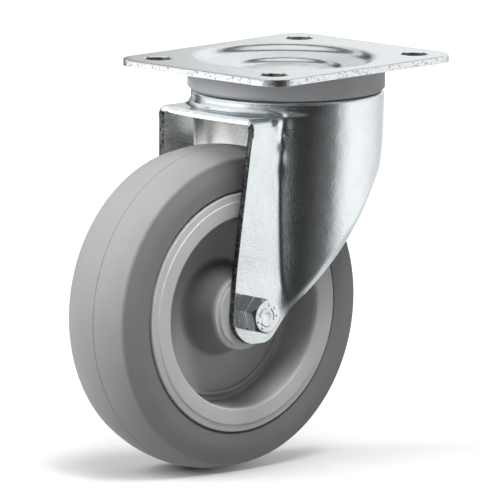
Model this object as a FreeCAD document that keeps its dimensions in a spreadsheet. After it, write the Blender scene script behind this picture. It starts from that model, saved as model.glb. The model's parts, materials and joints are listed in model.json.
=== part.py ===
import FreeCAD, Part
import os
import re
import Sketcher

# Swivel castor: a pressed steel fork under a dished top plate, on two rings of balls,
# with a grey rubber-tyred wheel on a roller bearing. Sizes are in millimetres.
# The origin is the centre of the plate's top face, on the swivel axis. +Z is up.
# The wheel trails towards -X. At rest the fork stands a few degrees off that line.

V = FreeCAD.Vector
doc = FreeCAD.newDocument("SwivelCastor")

# Driving dimensions, each written once. All of them are lengths, apart from the two
# angles in degrees and the numbers of balls and rollers.
SIZES = {
    "rest_swivel": -5.8,
    "wheel_trail": 37.0,
    "axle_drop": 93.5,
    "plate_length": 105.0,
    "plate_width": 85.0,
    "plate_sheet": 2.75,
    "plate_corner": 10.0,
    "hole_pitch_long": 80.0,
    "hole_pitch_cross": 60.0,
    "plate_hole_dia": 10.5,
    "dish_rim_radius": 34.5,
    "dish_wall_run": 4.0,
    "dish_first_drop": 2.1,
    "terrace_fall": 1.7,
    "dish_step_radius": 21.5,
    "step_wall_run": 3.0,
    "dish_second_drop": 1.4,
    "upper_ball_circle": 27.0,
    "upper_ball_dia": 7.94,
    "upper_ball_count": 18,
    "lower_ball_circle": 21.0,
    "lower_ball_dia": 6.35,
    "lower_ball_count": 16,
    "track_depth": 0.45,
    "ball_play": 0.05,
    "dust_ring_radius": 38.05,
    "dust_ring_wall": 3.0,
    "dust_ring_chamfer": 1.0,
    "dust_ring_gap": 0.35,
    "fork_sheet": 2.8,
    "bulge_radius": 37.9,
    "bulge_straight": 33.0,
    "bulge_foot_radius": 31.2,
    "bulge_foot_drop": 84.5,
    "bulge_end_radius": 19.0,
    "bulge_end_drop": 101.0,
    "bulge_foot_round": 18.0,
    "bulge_waist_round": 60.0,
    "crown_round": 1.5,
    "neck_radius": 36.6,
    "neck_flare": 2.6,
    "neck_half_angle": 46.0,
    "shelf_drop": 18.0,
    "shelf_bend": 4.0,
    "leg_top_half_width": 27.6,
    "leg_foot_half_width": 22.6,
    "leg_foot_rise": 14.5,
    "leg_bend_round": 60.0,
    "leg_top_front": 40.6,
    "leg_foot_front": 46.6,
    "leg_foot_round": 11.0,
    "heel_round": 7.0,
    "foot_below_axle": 11.9,
    "heel_behind_axle": 9.2,
    "diagonal_run": 48.2,
    "diagonal_rise": 58.3,
    "back_edge_drop": 35.0,
    "back_edge_round": 18.0,
    "crown_hole_radius": 12.0,
    "kingpin_dia": 12.0,
    "kingpin_head_radius": 12.7,
    "kingpin_head_rise": 0.9,
    "kingpin_dome": 0.5,
    "kingpin_stub": 1.6,
    "kingpin_chamfer": 0.8,
    "spacer_wall": 2.6,
    "pin_play": 0.05,
    "cup_radius": 28.5,
    "cup_sheet": 2.5,
    "cup_lip": 2.4,
    "kingpin_nut_flats": 18.0,
    "kingpin_nut_height": 7.0,
    "bolt_dia": 8.0,
    "bolt_hole_play": 0.1,
    "bolt_flats": 13.0,
    "bolt_head_height": 5.3,
    "bolt_face_height": 0.5,
    "bolt_face_dia": 12.0,
    "hex_turn": 44.5,
    "thin_nut_height": 4.0,
    "lock_nut_height": 8.0,
    "lock_insert_height": 2.0,
    "lock_insert_radius": 5.4,
    "bolt_stub": 1.8,
    "bolt_chamfer": 0.6,
    "head_chamfer_rise": 1.4,
    "insert_set_back": 0.3,
    "flat_washer_radius": 8.5,
    "flat_washer_sheet": 1.6,
    "axle_tube_dia": 12.0,
    "tube_play": 0.08,
    "thrust_washer_radius": 13.0,
    "thrust_washer_sheet": 1.0,
    "hub_end_play": 0.15,
    "roller_circle_radius": 8.0,
    "roller_count": 9,
    "roller_length": 25.0,
    "roller_play": 0.03,
    "roller_pocket_play": 0.08,
    "cage_length": 31.0,
    "cage_wall": 2.8,
    "sleeve_wall": 1.2,
    "sleeve_length": 33.0,
    "wheel_radius": 62.5,
    "tread_arc_radius": 38.5,
    "shoulder_run": 3.8,
    "shoulder_bow": 6.0,
    "sidewall_radius": 55.0,
    "tyre_side_swell": 1.2,
    "tyre_foot_radius": 47.4,
    "rim_seat_radius": 44.6,
    "rim_seat_half_width": 16.6,
    "rim_flange_radius": 46.3,
    "rim_flange_width": 2.3,
    "rim_step_radius": 43.5,
    "rim_step_height": 0.5,
    "rim_mouth_radius": 37.6,
    "rim_root_radius": 36.4,
    "web_half_width": 3.0,
    "web_ridge_radius": 32.5,
    "web_ridge_height": 1.2,
    "web_ridge_width": 1.8,
    "hub_root_radius": 17.2,
    "hub_end_radius": 14.5,
    "hub_root_round": 2.0,
    "rim_root_round": 1.4,
}

# Places that follow from the driving dimensions, as expressions on their names.
PLACES = {
    "terrace_inner_level": "dish_first_drop + terrace_fall",
    "dish_floor": "terrace_inner_level + dish_second_drop",
    "dish_foot_radius": "dish_rim_radius - dish_wall_run",
    "step_foot_radius": "dish_step_radius - step_wall_run",
    "terrace_share": "(dish_foot_radius - upper_ball_circle) / (dish_foot_radius - dish_step_radius)",
    "track_level": "dish_first_drop + terrace_fall * terrace_share + plate_sheet",
    "crown_top": "track_level + upper_ball_dia - 2 * track_depth",
    "crown_under": "crown_top + fork_sheet",
    "upper_ball_level": "(track_level + crown_top) / 2",
    "cup_top": "crown_under + lower_ball_dia - 2 * track_depth",
    "lower_ball_level": "(crown_under + cup_top) / 2",
    "cup_under": "cup_top + cup_sheet",
    "plate_floor_under": "dish_floor + plate_sheet",
    "pin_bore": "kingpin_dia / 2 + pin_play",
    "shelf_under": "shelf_drop + fork_sheet",
    "leg_top_inner": "leg_top_half_width - fork_sheet",
    "leg_foot_inner": "leg_foot_half_width - fork_sheet",
    "leg_bend_drop": "axle_drop - leg_foot_rise",
    "foot_drop": "axle_drop + foot_below_axle",
    "heel_place": "heel_behind_axle - wheel_trail",
    "diagonal_slope": "diagonal_run / diagonal_rise",
    "back_corner": "heel_place + (foot_drop - back_edge_drop) * diagonal_slope",
    "bolt_bore": "bolt_dia / 2 + bolt_hole_play",
    "tube_bore": "bolt_dia / 2 + bolt_hole_play",
    "tube_radius": "axle_tube_dia / 2",
    "roller_radius": "roller_circle_radius - tube_radius - roller_play",
    "sleeve_inner": "roller_circle_radius + roller_radius + roller_play",
    "sleeve_outer": "sleeve_inner + sleeve_wall",
    "hub_bore": "sleeve_outer + pin_play",
    "tyre_half_width": "rim_seat_half_width + tyre_side_swell",
    "tread_half_width": "tyre_half_width - shoulder_run",
    "shoulder_radius": "wheel_radius - tread_arc_radius + sqrt(tread_arc_radius ^ 2 - tread_half_width ^ 2)",
    "front_slope": "(leg_foot_front - leg_top_front) / (foot_drop - shelf_drop)",
    "rim_half_width": "rim_seat_half_width + rim_flange_width",
    "hub_half_length": "leg_foot_inner - thrust_washer_sheet - hub_end_play",
}

sheet = doc.addObject("Spreadsheet::Sheet", "Sizes")
for row, (alias, number) in enumerate(SIZES.items(), start=1):
    sheet.set("A%d" % row, alias)
    sheet.set("B%d" % row, str(number))
    sheet.setAlias("B%d" % row, alias)
doc.recompute()


def bound(text):
    """The expression with every place worked back to cells of the sheet."""
    def one(match):
        word = match.group(0)
        if word in SIZES:
            return "Sizes." + word
        if word in PLACES:
            return "(" + bound(PLACES[word]) + ")"
        return word
    return re.sub(r"[a-z_]+", one, text)


def value(text):
    """The number that an expression gives now."""
    return float(sheet.evalExpression(bound(text)))


def bind(thing, prop, text):
    """Ties one property of a feature to the sheet."""
    thing.setExpression(prop, bound(text))


def new_body(label):
    """An empty body. Balls and rollers are several solids, so a compound is allowed."""
    body = doc.addObject("PartDesign::Body", label)
    body.Label = label
    body.AllowCompound = True
    return body


def origin_feature(body, role):
    """The body's own plane or axis of that role."""
    return [item for item in body.Origin.OriginFeatures if item.Role == role][0]


def new_sketch(body, name, plane):
    """A sketch on one of the body's own planes."""
    sketch = body.newObject("Sketcher::SketchObject", name)
    sketch.AttachmentSupport = [(origin_feature(body, plane), "")]
    sketch.MapMode = "FlatFace"
    return sketch


def fix_point(sketch, edge, end, tag, corner):
    """Holds a point at a pair of expressions, measured from the sketch's origin."""
    for kind, axis, text in (("DistanceX", -2, corner[0]), ("DistanceY", -1, corner[1])):
        number = value(text)
        if abs(number) < 1e-9:
            sketch.addConstraint(Sketcher.Constraint("PointOnObject", edge, end, axis))
            continue
        name = "%s_%s" % (tag, kind[-1].lower())
        index = sketch.addConstraint(Sketcher.Constraint(kind, edge, end, number))
        sketch.renameConstraint(index, name)
        bind(sketch, "Constraints." + name, text)


def fix_radius(sketch, edge, tag, text):
    """Holds the radius of an arc or circle at an expression."""
    index = sketch.addConstraint(Sketcher.Constraint("Radius", edge, value(text)))
    sketch.renameConstraint(index, tag)
    bind(sketch, "Constraints." + tag, text)


def arc_between(start, finish, radius):
    """An arc from start to finish that bows to the right of the way from one to the other."""
    middle = (start + finish) * 0.5
    along = finish - start
    across = V(-along.y, along.x, 0).normalize()
    reach = max(radius * radius - along.Length * along.Length / 4, 0) ** 0.5
    centre = middle + across * reach
    top = centre - across * radius
    return Part.ArcOfCircle(start, top, finish)


def outline(sketch, corners, rounds=None, arcs=None, tag="p"):
    """A closed outline through corners, anticlockwise. Each corner is a pair of expressions.
    rounds gives a radius for a corner, and arcs one for the edge that leaves a corner."""
    rounds = rounds or {}
    arcs = arcs or {}
    count = len(corners)
    points = [V(value(x), value(y), 0) for x, y in corners]
    first = sketch.GeometryCount
    for i in range(count):
        start, finish = points[i], points[(i + 1) % count]
        if i in arcs:
            edge = arc_between(start, finish, value(arcs[i]))
        else:
            edge = Part.LineSegment(start, finish)
        sketch.addGeometry(edge, False)
    for i in range(count):
        after = first + (i + 1) % count
        sketch.addConstraint(Sketcher.Constraint("Coincident", first + i, 2, after, 1))
    for i in range(count):
        fix_point(sketch, first + i, 1, "%s%d" % (tag, i), corners[i])
    for i, text in arcs.items():
        fix_radius(sketch, first + i, "%s%d_bow" % (tag, i), text)
    for i, text in rounds.items():
        before = (i - 1) % count
        radius = value(text)
        to_before = points[before] - points[i]
        to_after = points[(i + 1) % count] - points[i]
        pick_before = points[i] + to_before * min(radius / to_before.Length, 0.4)
        pick_after = points[i] + to_after * min(radius / to_after.Length, 0.4)
        sketch.fillet(first + before, first + i, pick_before, pick_after, radius, True, True)
        newest = [n for n, item in enumerate(sketch.Geometry)
                  if item.TypeId == "Part::GeomArcOfCircle"][-1]
        fix_radius(sketch, newest, "%s%d_round" % (tag, i), text)


def circle(sketch, x, y, radius, tag):
    """A circle with its centre and radius tied to expressions."""
    edge = sketch.GeometryCount
    sketch.addGeometry(Part.Circle(V(value(x), value(y), 0), V(0, 0, 1), value(radius)), False)
    fix_point(sketch, edge, 3, tag, (x, y))
    fix_radius(sketch, edge, tag + "_radius", radius)


def feature(body, kind, name, sketch):
    """A sketch-based feature at the body's tip."""
    item = body.newObject("PartDesign::" + kind, name)
    item.Profile = sketch
    return item


def turned(body, kind, name, plane, corners, rounds=None, arcs=None, angle=None):
    """A half section turned about the sketch's upright axis, all round or through an angle."""
    sketch = new_sketch(body, name + "_section", plane)
    outline(sketch, corners, rounds, arcs)
    item = feature(body, kind, name, sketch)
    item.ReferenceAxis = (sketch, ["V_Axis"])
    item.Angle = 360.0
    if angle:
        item.Midplane = True
        bind(item, "Angle", angle)
    return item


def grown(body, kind, name, sketch, forward, back):
    """A pad or pocket from the sketch's plane: forward along its normal, back against it."""
    item = feature(body, kind, name, sketch)
    if forward and back:
        item.SideType = "Two sides"
        bind(item, "Length", forward)
        bind(item, "Length2", back)
        return item
    item.Reversed = (back is not None) == (kind == "Pad")
    bind(item, "Length", forward or back)
    return item


def padded(body, name, sketch, forward=None, back=None):
    """A pad that reaches forward, back, or both ways."""
    return grown(body, "Pad", name, sketch, forward, back)


def pocketed(body, name, sketch, forward=None, back=None):
    """A pocket that reaches forward, back, or both ways."""
    return grown(body, "Pocket", name, sketch, forward, back)


def track(body, name, circle_radius, level, ball_dia):
    """A ball track: the groove that a ring of balls runs in."""
    sketch = new_sketch(body, name + "_section", "XZ_Plane")
    circle(sketch, circle_radius, "-(%s)" % level, "%s / 2 + ball_play" % ball_dia, "ball")
    item = feature(body, "Groove", name, sketch)
    item.ReferenceAxis = (sketch, ["V_Axis"])
    item.Angle = 360.0
    return item


def ring_of(body, seed, axis_role, count):
    """Repeats one feature evenly round an axis."""
    pattern = body.newObject("PartDesign::PolarPattern", seed.Name + "_ring")
    pattern.Originals = [seed]
    pattern.Axis = (origin_feature(body, axis_role), [""])
    pattern.Angle = 360.0
    bind(pattern, "Occurrences", count)
    body.Tip = pattern
    return pattern


def stand_on_swivel(body):
    """Turns a piece to the fork's place at rest."""
    body.Placement = FreeCAD.Placement(V(0, 0, 0), FreeCAD.Rotation(V(0, 0, 1), -1))
    bind(body, "Placement.Rotation.Angle", "rest_swivel")


def stand_on_axle(body):
    """Puts a piece that is drawn round the wheel's centre on the axle."""
    stand_on_swivel(body)
    bind(body, "Placement.Base.x", "-wheel_trail * cos(rest_swivel)")
    bind(body, "Placement.Base.y", "-wheel_trail * sin(rest_swivel)")
    bind(body, "Placement.Base.z", "-axle_drop")


def hexagon(sketch, flats, turn):
    """A regular hexagon across the given flats, turned by an angle."""
    corner = "%s / 2 / cos(30)" % flats
    ends = [("%s * cos(%s + %d)" % (corner, turn, step), "%s * sin(%s + %d)" % (corner, turn, step))
            for step in range(0, 360, 60)]
    outline(sketch, ends, tag="hex")


# Top plate: a rounded sheet with a stepped dish pressed into its middle.
plate = new_body("top_plate")
sheet_outline = new_sketch(plate, "plate_outline", "XY_Plane")
half_long, half_cross = "plate_length / 2", "plate_width / 2"
outline(
    sheet_outline,
    [("-" + half_long, "-" + half_cross), (half_long, "-" + half_cross),
     (half_long, half_cross), ("-" + half_long, half_cross)],
    rounds={i: "plate_corner" for i in range(4)})
padded(plate, "plate_sheet_pad", sheet_outline, back="plate_sheet")
turned(
    plate, "Revolution", "dish_body", "XZ_Plane",
    [("0", "-plate_floor_under"),
     ("step_foot_radius", "-plate_floor_under"),
     ("dish_step_radius", "-(terrace_inner_level + plate_sheet)"),
     ("dish_foot_radius", "-(dish_first_drop + plate_sheet)"),
     ("dish_rim_radius", "-plate_sheet"),
     ("dish_rim_radius", "-plate_sheet / 2"),
     ("0", "-plate_sheet / 2")],
    rounds={1: "step_wall_run / 3", 2: "step_wall_run / 3", 3: "dish_wall_run / 3"})
turned(
    plate, "Groove", "dish_hollow", "XZ_Plane",
    [("0", "-dish_floor"),
     ("step_foot_radius", "-dish_floor"),
     ("dish_step_radius", "-terrace_inner_level"),
     ("dish_foot_radius", "-dish_first_drop"),
     ("dish_rim_radius", "0"),
     ("dish_rim_radius", "plate_sheet"),
     ("0", "plate_sheet")],
    rounds={1: "step_wall_run / 3", 2: "step_wall_run / 3", 3: "dish_wall_run / 3"})
plate_holes = new_sketch(plate, "plate_holes", "XY_Plane")
for n, (sign_x, sign_y) in enumerate((("", ""), ("-", ""), ("-", "-"), ("", "-"))):
    circle(plate_holes, sign_x + "hole_pitch_long / 2", sign_y + "hole_pitch_cross / 2",
           "plate_hole_dia / 2", "bolt_hole%d" % n)
circle(plate_holes, "0", "0", "pin_bore", "pin_hole")
pocketed(plate, "plate_hole_cut", plate_holes, "plate_floor_under + 1", "1")
track(plate, "plate_track", "upper_ball_circle", "upper_ball_level", "upper_ball_dia")

# Grey plastic ring that closes the gap round the upper balls.
dust_ring = new_body("swivel_dust_ring")
turned(
    dust_ring, "Revolution", "ring_turned", "XZ_Plane",
    [("dust_ring_radius - dust_ring_wall", "dust_ring_gap - crown_top"),
     ("dust_ring_radius - dust_ring_chamfer", "dust_ring_gap - crown_top"),
     ("dust_ring_radius", "dust_ring_gap + dust_ring_chamfer - crown_top"),
     ("dust_ring_radius", "-plate_sheet"),
     ("dust_ring_radius - dust_ring_wall", "-plate_sheet")])

# Kingpin: a low domed head in the dish, a shank through both races, and its nut.
kingpin = new_body("kingpin")
turned(
    kingpin, "Revolution", "pin_turned", "XZ_Plane",
    [("0", "-(cup_under + kingpin_nut_height + kingpin_stub)"),
     ("kingpin_dia / 2 - kingpin_chamfer", "-(cup_under + kingpin_nut_height + kingpin_stub)"),
     ("kingpin_dia / 2", "kingpin_chamfer - (cup_under + kingpin_nut_height + kingpin_stub)"),
     ("kingpin_dia / 2", "-dish_floor"),
     ("kingpin_head_radius", "-dish_floor"),
     ("kingpin_head_radius", "kingpin_head_rise - dish_floor"),
     ("0", "kingpin_head_rise + kingpin_dome - dish_floor")])

spacer = new_body("kingpin_spacer")
turned(
    spacer, "Revolution", "spacer_turned", "XZ_Plane",
    [("pin_bore", "-cup_top"),
     ("pin_bore + spacer_wall", "-cup_top"),
     ("pin_bore + spacer_wall", "-plate_floor_under"),
     ("pin_bore", "-plate_floor_under")])

cup = new_body("lower_race_cup")
turned(
    cup, "Revolution", "cup_turned", "XZ_Plane",
    [("pin_bore", "-cup_under"),
     ("cup_radius", "-cup_under"),
     ("cup_radius", "cup_lip - cup_top"),
     ("cup_radius - cup_sheet / 2", "cup_lip - cup_top"),
     ("cup_radius - cup_sheet", "-cup_top"),
     ("pin_bore", "-cup_top")],
    rounds={1: "cup_sheet / 2"})
track(cup, "cup_track", "lower_ball_circle", "lower_ball_level", "lower_ball_dia")

pin_nut = new_body("kingpin_nut")
nut_outline = new_sketch(pin_nut, "nut_outline", "XY_Plane")
hexagon(nut_outline, "kingpin_nut_flats", "0")
circle(nut_outline, "0", "0", "pin_bore", "nut_bore")
padded(pin_nut, "nut_pad", nut_outline, back="kingpin_nut_height")
bind(pin_nut, "Placement.Base.z", "-cup_under")


def ball_ring(label, circle_radius, level, ball_dia, count):
    """A ring of loose balls between two races."""
    body = new_body(label)
    sphere = body.newObject("PartDesign::AdditiveSphere", label + "_seed")
    bind(sphere, "Radius", ball_dia + " / 2")
    bind(sphere, "AttachmentOffset.Base.x", circle_radius)
    bind(sphere, "AttachmentOffset.Base.z", "-(%s)" % level)
    sphere.AttachmentSupport = [(origin_feature(body, "XY_Plane"), "")]
    sphere.MapMode = "FlatFace"
    doc.recompute()
    ring_of(body, sphere, "Z_Axis", count)
    return body


upper_balls = ball_ring("upper_balls", "upper_ball_circle", "upper_ball_level",
                        "upper_ball_dia", "upper_ball_count")
lower_balls = ball_ring("lower_balls", "lower_ball_circle", "lower_ball_level",
                        "lower_ball_dia", "lower_ball_count")

# Fork: one pressed sheet. A round crown carries the ball tracks, a tapering bulge wraps
# the leading side, and two flat legs run down to the axle. It is drawn solid, cut to its
# side outline, then hollowed by the same forms one sheet further in.
fork = new_body("fork")


def bulge_section(inset, top):
    """Half section of crown and bulge, one sheet further in when inset is the sheet."""
    return [("0", "-bulge_end_drop"),
            ("bulge_end_radius - %s" % inset, "-bulge_end_drop"),
            ("bulge_foot_radius - %s" % inset, "-bulge_foot_drop"),
            ("bulge_radius - %s" % inset, "-bulge_straight"),
            ("bulge_radius - %s" % inset, "-(%s)" % top),
            ("0", "-(%s)" % top)]


def leg_section(top_half, foot_half, top):
    """Section across both legs and the shelf that joins them, seen along the wheel's path."""
    low = "-(foot_drop + 5)"
    return [("-" + foot_half, low), (foot_half, low),
            (foot_half, "-(leg_bend_drop)"), (top_half, "-(%s)" % top),
            ("-" + top_half, "-(%s)" % top), ("-" + foot_half, "-(leg_bend_drop)")]


turned(fork, "Revolution", "bulge_outside", "XZ_Plane", bulge_section("0", "crown_top"),
       rounds={2: "bulge_foot_round", 3: "bulge_waist_round", 4: "crown_round"})
legs_outside = new_sketch(fork, "legs_outside_section", "YZ_Plane")
outline(legs_outside, leg_section("leg_top_half_width", "leg_foot_half_width", "shelf_drop"),
        rounds={2: "leg_bend_round", 3: "shelf_bend", 4: "shelf_bend", 5: "leg_bend_round"})
padded(fork, "legs_outside", legs_outside, back="leg_foot_front + 10")

turned(
    fork, "Groove", "neck_relief", "XZ_Plane",
    [("-neck_radius", "-shelf_drop"), ("-neck_radius", "2 - crown_top"),
     ("-(bulge_radius + 8)", "2 - crown_top"), ("-(bulge_radius + 8)", "-shelf_drop")],
    rounds={0: "neck_flare"}, angle="2 * neck_half_angle")

# The side outline: straight front edge, round foot under the axle, heel, and the long
# diagonal that runs up to the back of the crown. Everything outside it is cut away.
side_cut = new_sketch(fork, "side_outline", "XZ_Plane")
outline(side_cut, [("-100", "-200"), ("100", "-200"), ("100", "20"), ("-100", "20")], tag="frame")
top_front = "-leg_top_front + (shelf_drop - crown_top + 2) * front_slope"
outline(
    side_cut,
    [("-leg_foot_front", "-foot_drop"),
     ("heel_place", "-foot_drop"),
     ("back_corner", "-back_edge_drop"),
     ("bulge_radius + 5", "-back_edge_drop"),
     ("bulge_radius + 5", "2 - crown_top"),
     (top_front, "2 - crown_top")],
    rounds={0: "leg_foot_round", 1: "heel_round", 2: "back_edge_round"}, tag="side")
pocketed(fork, "side_trim", side_cut, "60", "60")

turned(fork, "Groove", "bulge_inside", "XZ_Plane", bulge_section("fork_sheet", "crown_under"),
       rounds={2: "bulge_foot_round", 3: "bulge_waist_round", 4: "crown_round / 2"})
legs_inside = new_sketch(fork, "legs_inside_section", "YZ_Plane")
outline(legs_inside, leg_section("leg_top_inner", "leg_foot_inner", "shelf_under"),
        rounds={2: "leg_bend_round", 3: "shelf_bend - fork_sheet",
                4: "shelf_bend - fork_sheet", 5: "leg_bend_round"})
pocketed(fork, "legs_inside", legs_inside, back="leg_foot_front + 20")

crown_hole = new_sketch(fork, "crown_hole_outline", "XY_Plane")
circle(crown_hole, "0", "0", "crown_hole_radius", "crown_hole")
pocketed(fork, "crown_hole_cut", crown_hole, "crown_under + 1", "1")
axle_hole = new_sketch(fork, "axle_hole_outline", "XZ_Plane")
circle(axle_hole, "-wheel_trail", "-axle_drop", "bolt_bore", "axle_hole")
pocketed(fork, "axle_hole_cut", axle_hole, "40", "40")
track(fork, "upper_fork_track", "upper_ball_circle", "upper_ball_level", "upper_ball_dia")
track(fork, "lower_fork_track", "lower_ball_circle", "lower_ball_level", "lower_ball_dia")
stand_on_swivel(fork)

# Axle: bolt with a thin nut under its head, tube between the legs, washers and lock nut.
# All are drawn lying along Y through the wheel's centre. -Y is the bolt's head side.
leg_face = "leg_foot_half_width"
head_foot = "(leg_foot_half_width + thin_nut_height)"
far_face = "(leg_foot_half_width + flat_washer_sheet)"
bolt_end = "(leg_foot_half_width + flat_washer_sheet + lock_nut_height + bolt_stub)"


def across_axle(label):
    """A body drawn round the wheel's centre, with one outline across the axle."""
    body = new_body(label)
    return body, new_sketch(body, label + "_outline", "XZ_Plane")


def along_axle(label, corners, rounds=None, arcs=None):
    """A body turned about the axle. Its corners are radius and place along the axle."""
    body = new_body(label)
    turned(body, "Revolution", label + "_turned", "XY_Plane", corners, rounds, arcs)
    return body


def washer(label, inner, outer, near, far):
    """A flat ring on the axle."""
    body = along_axle(label, [(inner, near), (outer, near), (outer, far), (inner, far)])
    stand_on_axle(body)
    return body


bolt = along_axle(
    "axle_bolt",
    [("0", "-(%s + bolt_face_height)" % head_foot),
     ("bolt_face_dia / 2", "-(%s + bolt_face_height)" % head_foot),
     ("bolt_face_dia / 2", "-" + head_foot),
     ("bolt_dia / 2", "-" + head_foot),
     ("bolt_dia / 2", bolt_end + " - bolt_chamfer"),
     ("bolt_dia / 2 - bolt_chamfer", bolt_end),
     ("0", bolt_end)])
head_outline = new_sketch(bolt, "head_outline", "XZ_Plane")
hexagon(head_outline, "bolt_flats", "hex_turn")
padded(bolt, "head_pad", head_outline, "%s + bolt_head_height" % head_foot,
       "-(%s + bolt_face_height)" % head_foot)
corner_radius = "(bolt_flats / 2 / cos(30))"
turned(
    bolt, "Groove", "head_chamfer", "XY_Plane",
    [("bolt_face_dia / 2", "-(%s + bolt_head_height)" % head_foot),
     (corner_radius + " + 1", "head_chamfer_rise - (%s + bolt_head_height)" % head_foot),
     (corner_radius + " + 1", "-(%s + bolt_head_height + 1)" % head_foot),
     ("bolt_face_dia / 2", "-(%s + bolt_head_height + 1)" % head_foot)])
stand_on_axle(bolt)

thin_nut, thin_outline = across_axle("bolt_thin_nut")
hexagon(thin_outline, "bolt_flats", "hex_turn")
circle(thin_outline, "0", "0", "bolt_bore", "nut_bore")
padded(thin_nut, "thin_nut_pad", thin_outline, head_foot, "-" + leg_face)
stand_on_axle(thin_nut)

far_washer = washer("lock_nut_washer", "bolt_bore", "flat_washer_radius", leg_face, far_face)

lock_nut, lock_outline = across_axle("axle_lock_nut")
hexagon(lock_outline, "bolt_flats", "0")
circle(lock_outline, "0", "0", "bolt_bore", "nut_bore")
padded(lock_nut, "lock_nut_pad", lock_outline, "-" + far_face, far_face + " + lock_nut_height")
insert_face = "(%s + lock_nut_height - lock_insert_height)" % far_face
turned(
    lock_nut, "Groove", "insert_seat", "XY_Plane",
    [("0", insert_face), ("lock_insert_radius", insert_face),
     ("lock_insert_radius", far_face + " + lock_nut_height + 1"),
     ("0", far_face + " + lock_nut_height + 1")])
stand_on_axle(lock_nut)

insert = washer("lock_nut_insert", "bolt_bore", "lock_insert_radius", insert_face,
                far_face + " + lock_nut_height - insert_set_back")

axle_tube = washer("axle_tube", "tube_bore", "tube_radius", "-leg_foot_inner", "leg_foot_inner")
washer_bore = "tube_radius + tube_play"
inner_face = "(leg_foot_inner - thrust_washer_sheet)"
near_thrust = washer("near_thrust_washer", washer_bore, "thrust_washer_radius",
                     "-leg_foot_inner", "-" + inner_face)
far_thrust = washer("far_thrust_washer", washer_bore, "thrust_washer_radius",
                    inner_face, "leg_foot_inner")

# Wheel: a moulded centre with a deep dished web, a grey rubber tyre bonded round it, and
# a steel sleeve in the hub for the rollers.
half_hub = "hub_half_length"
right_side = [
    ("hub_bore", half_hub),
    ("hub_end_radius", half_hub),
    ("hub_root_radius", "web_half_width"),
    ("web_ridge_radius", "web_half_width"),
    ("web_ridge_radius", "web_half_width + web_ridge_height"),
    ("web_ridge_radius + web_ridge_width", "web_half_width + web_ridge_height"),
    ("web_ridge_radius + web_ridge_width", "web_half_width"),
    ("rim_root_radius", "web_half_width"),
    ("rim_mouth_radius", "rim_half_width"),
    ("rim_step_radius", "rim_half_width"),
    ("rim_step_radius", "rim_half_width - rim_step_height"),
    ("rim_flange_radius", "rim_half_width - rim_step_height"),
    ("rim_flange_radius", "rim_seat_half_width"),
    ("rim_seat_radius", "rim_seat_half_width"),
]


def both_sides(corners):
    """A section that is the same on both sides of the wheel's middle plane."""
    other = [(radius, "-(%s)" % place) for radius, place in corners]
    return corners + other[::-1]


near_rounds = {2: "hub_root_round", 7: "rim_root_round"}
last = 2 * len(right_side) - 1
rim_rounds = {**near_rounds, **{last - i: text for i, text in near_rounds.items()}}
centre = along_axle("wheel_centre", both_sides(right_side), rim_rounds)
stand_on_axle(centre)

tyre = along_axle(
    "tyre",
    [("rim_seat_radius + pin_play", "-(rim_seat_half_width - pin_play)"),
     ("tyre_foot_radius", "-(rim_seat_half_width - pin_play)"),
     ("sidewall_radius", "-(tyre_half_width)"),
     ("shoulder_radius", "-(tread_half_width)"),
     ("shoulder_radius", "tread_half_width"),
     ("sidewall_radius", "tyre_half_width"),
     ("tyre_foot_radius", "rim_seat_half_width - pin_play"),
     ("rim_seat_radius + pin_play", "rim_seat_half_width - pin_play")],
    arcs={2: "shoulder_bow", 3: "tread_arc_radius", 4: "shoulder_bow"})
stand_on_axle(tyre)

sleeve = washer("bearing_sleeve", "sleeve_inner", "sleeve_outer",
                "-sleeve_length / 2", "sleeve_length / 2")

# Rollers: steel pins in a plastic cage, between the axle tube and the sleeve.
rollers = new_body("rollers")
roller_outline = new_sketch(rollers, "roller_outline", "XZ_Plane")
circle(roller_outline, "roller_circle_radius", "0", "roller_radius", "roller")
roller_pad = padded(rollers, "roller_pad", roller_outline, "roller_length / 2", "roller_length / 2")
ring_of(rollers, roller_pad, "Y_Axis", "roller_count")
stand_on_axle(rollers)

cage = along_axle(
    "roller_cage",
    [("roller_circle_radius - cage_wall / 2", "-cage_length / 2"),
     ("roller_circle_radius + cage_wall / 2", "-cage_length / 2"),
     ("roller_circle_radius + cage_wall / 2", "cage_length / 2"),
     ("roller_circle_radius - cage_wall / 2", "cage_length / 2")])
pocket_outline = new_sketch(cage, "cage_pocket_outline", "XZ_Plane")
circle(pocket_outline, "roller_circle_radius", "0", "roller_radius + roller_pocket_play", "pocket")
pocket_reach = "roller_length / 2 + roller_pocket_play"
cage_pocket = pocketed(cage, "cage_pocket", pocket_outline, pocket_reach, pocket_reach)
ring_of(cage, cage_pocket, "Y_Axis", "roller_count")
stand_on_axle(cage)

doc.recompute()
pieces = [item for item in doc.Objects if item.TypeId == "PartDesign::Body"]
for item in doc.Objects:
    if "Invalid" in item.State or "Error" in item.State:
        raise RuntimeError("%s did not build: %s" % (item.Name, item.State))
for piece in pieces:
    if piece.Shape.isNull() or not piece.Shape.isValid() or not piece.Shape.Solids:
        raise RuntimeError("%s has no valid shape" % piece.Label)

os.makedirs("parts", exist_ok=True)
for piece in pieces:
    piece.Shape.exportStep("parts/%s.step" % piece.Label)
    count, volume = len(piece.Shape.Solids), piece.Shape.Volume
    print("%-20s %2d solid(s) %10.1f cubic mm" % (piece.Label, count, volume))
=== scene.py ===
import json
import math

import bmesh
import bpy
import numpy as np
from mathutils import Matrix, Vector


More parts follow.
